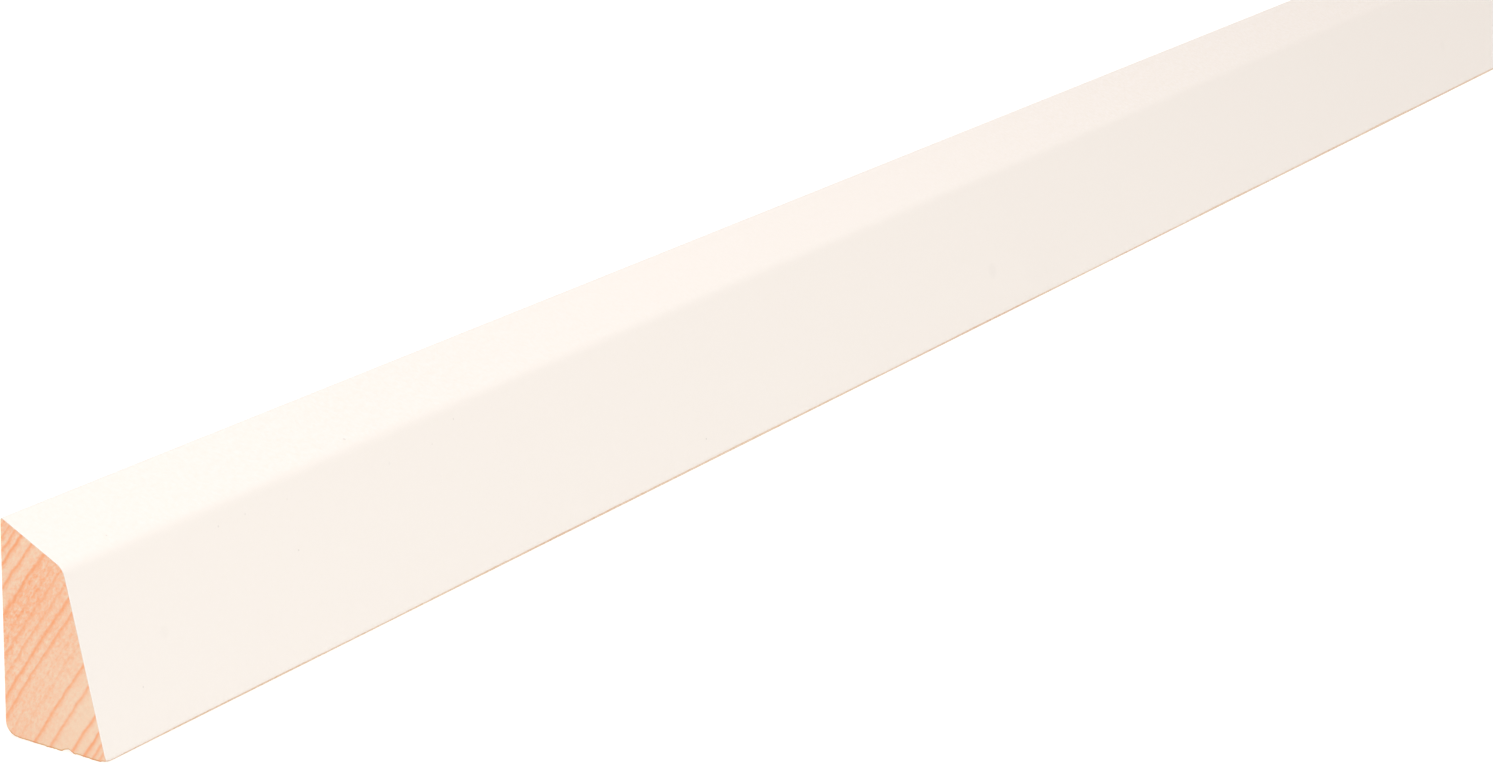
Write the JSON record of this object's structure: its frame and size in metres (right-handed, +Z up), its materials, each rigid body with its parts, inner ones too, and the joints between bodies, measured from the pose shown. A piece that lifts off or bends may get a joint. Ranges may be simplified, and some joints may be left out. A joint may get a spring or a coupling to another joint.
{
  "type": "skirting board",
  "caption": "Straight length of white-painted softwood skirting board with a leaning front, rounded nose and sloping top, covering the joint between floor and wall.",
  "frame": {"origin": "middle of the rectangle that the board covers on the floor", "axes": "+X along the board, +Y towards the wall, +Z up"},
  "size_m": [0.7, 0.02, 0.036],
  "materials": {
    "painted_pine": "planed pine, sprayed warm white in satin on the front and the top; back, underside and saw-cut ends bare"
  },
  "bodies": {
    "root": {"skirting_board": "painted_pine"}
  },
  "joints": []
}
